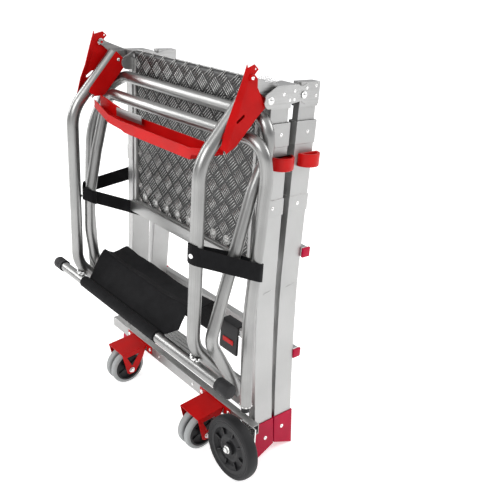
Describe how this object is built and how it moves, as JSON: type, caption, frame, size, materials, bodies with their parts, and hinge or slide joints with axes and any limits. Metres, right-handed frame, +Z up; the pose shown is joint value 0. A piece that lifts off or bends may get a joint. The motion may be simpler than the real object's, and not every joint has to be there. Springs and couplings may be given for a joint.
{
  "type": "folding work platform ladder",
  "caption": "Telescopic folding aluminium step ladder with tread plate platform, tubular guard rail, tool tray, twin castors and a transport wheel, folded upright.",
  "frame": {"origin": "on the floor, midway between the ladder's two sides, just behind the front stiles", "axes": "+Z up, -Y towards the climbing side with the folded guard rail, +X towards the side with the transport wheel"},
  "size_m": [0.9845, 0.422, 1.2066],
  "materials": {
    "mill_aluminium": "satin extruded aluminium",
    "tube_aluminium": "brushed round tube",
    "tread_plate": "five-bar tread pattern",
    "bright_zinc": "bright zinc plating",
    "red_painted_steel": "gloss powder coat",
    "red_plastic": "moulded",
    "black_rubber": "moulded",
    "grey_rubber": "moulded",
    "black_plastic": "moulded",
    "black_fabric": "woven polyester",
    "black_webbing": "hook-and-loop webbing"
  },
  "bodies": {
    "front_outer": {"front_outer_stile_left": "mill_aluminium", "front_outer_stile_right": "mill_aluminium", "front_boot_left": "red_plastic", "front_boot_right": "red_plastic", "front_rung": "mill_aluminium", "bottom_step": "mill_aluminium", "base_bar": "mill_aluminium", "castor_fork_left": "red_painted_steel", "castor_fork_right": "red_painted_steel", "wheel_bracket": "bright_zinc", "wheel_axle": "bright_zinc"},
    "castor_left": {"castor_hub_left": "black_plastic", "castor_tyre_left_1": "grey_rubber", "castor_tyre_left_2": "grey_rubber"},
    "castor_right": {"castor_hub_right": "black_plastic", "castor_tyre_right_1": "grey_rubber", "castor_tyre_right_2": "grey_rubber"},
    "transport_wheel": {"wheel_hub": "black_plastic", "wheel_tyre": "black_rubber"},
    "front_inner": {"front_inner_stile_left": "mill_aluminium", "front_inner_stile_right": "mill_aluminium", "front_bracket_left": "mill_aluminium", "front_bracket_right": "mill_aluminium", "platform_hinge_rod": "bright_zinc"},
    "latch": {"spring_latch": "bright_zinc"},
    "platform": {"platform_frame": "mill_aluminium", "tread_plate": "tread_plate"},
    "rear_inner": {"rear_inner_stile_left": "mill_aluminium", "rear_inner_stile_right": "mill_aluminium", "rear_bracket_left": "mill_aluminium", "rear_bracket_right": "mill_aluminium", "hinge_pin_left": "bright_zinc", "hinge_pin_right": "bright_zinc"},
    "rear_outer": {"rear_outer_stile_left": "mill_aluminium", "rear_outer_stile_right": "mill_aluminium", "rear_boot_left": "red_plastic", "rear_boot_right": "red_plastic", "rear_lower_rung": "mill_aluminium", "rear_upper_rung": "mill_aluminium"},
    "guard_rail": {"rail_post_left": "tube_aluminium", "rail_post_right": "tube_aluminium", "cross_tube": "tube_aluminium", "cross_tube_cap_left": "black_rubber", "cross_tube_cap_right": "black_rubber", "upper_rail": "tube_aluminium", "lower_rail": "tube_aluminium", "rail_clamp_left": "red_painted_steel", "rail_clamp_right": "red_painted_steel", "hook_plate_left": "red_painted_steel", "hook_plate_right": "red_painted_steel", "red_bridge": "red_painted_steel", "tool_tray": "black_fabric", "strap_left": "black_webbing", "strap_right": "black_webbing"},
    "front_knob_left_body": {"front_knob_left": "red_plastic"},
    "front_knob_right_body": {"front_knob_right": "red_plastic"},
    "rear_knob_left_body": {"rear_knob_left": "red_plastic"},
    "rear_knob_right_body": {"rear_knob_right": "red_plastic"}
  },
  "joints": [
    {"name": "castor_left_roll", "type": "hinge", "parent": "front_outer", "child": "castor_left", "pos_m": [-0.222, -0.167, 0.0625], "axis": [1, 0, 0], "continuous": true},
    {"name": "castor_right_roll", "type": "hinge", "parent": "front_outer", "child": "castor_right", "pos_m": [0.222, -0.167, 0.0625], "axis": [1, 0, 0], "continuous": true},
    {"name": "transport_wheel_roll", "type": "hinge", "parent": "front_outer", "child": "transport_wheel", "pos_m": [0.393, -0.169, 0.1], "axis": [0, 1, 0], "continuous": true},
    {"name": "front_extend", "type": "slide", "parent": "front_outer", "child": "front_inner", "axis": [0, 0, 1], "range_m": [0, 0.28]},
    {"name": "latch_swing", "type": "hinge", "parent": "front_inner", "child": "latch", "pos_m": [0.324, -0.033, 1.156], "axis": [-1, 0, 0], "range_deg": [0, 35]},
    {"name": "guard_rail_swing", "type": "hinge", "parent": "front_inner", "child": "guard_rail", "pos_m": [0, -0.158, 1.174], "axis": [-1, 0, 0], "range_deg": [0, 180]},
    {"name": "platform_swing", "type": "hinge", "parent": "front_inner", "child": "platform", "pos_m": [0, -0.059, 1.141], "axis": [-1, 0, 0], "range_deg": [0, 90]},
    {"name": "ladder_open", "type": "hinge", "parent": "front_inner", "child": "rear_inner", "pos_m": [0, 0.021, 1.122], "axis": [1, 0, 0], "range_deg": [0, 35]},
    {"name": "rear_extend", "type": "slide", "parent": "rear_inner", "child": "rear_outer", "axis": [0, -0.0192, -0.9998], "range_m": [0, 0.28]},
    {"name": "front_knob_left_pull", "type": "slide", "parent": "front_outer", "child": "front_knob_left_body", "axis": [-1, 0, 0], "range_m": [0, 0.005], "stiffness_N_per_m": 400},
    {"name": "front_knob_right_pull", "type": "slide", "parent": "front_outer", "child": "front_knob_right_body", "axis": [1, 0, 0], "range_m": [0, 0.005], "stiffness_N_per_m": 400},
    {"name": "rear_knob_left_pull", "type": "slide", "parent": "rear_outer", "child": "rear_knob_left_body", "axis": [-1, 0, 0], "range_m": [0, 0.005], "stiffness_N_per_m": 400},
    {"name": "rear_knob_right_pull", "type": "slide", "parent": "rear_outer", "child": "rear_knob_right_body", "axis": [1, 0, 0], "range_m": [0, 0.005], "stiffness_N_per_m": 400}
  ],
  "couplings": [
    {"joint": "platform_swing", "follows": "guard_rail_swing", "ratio": 0.5}
  ]
}
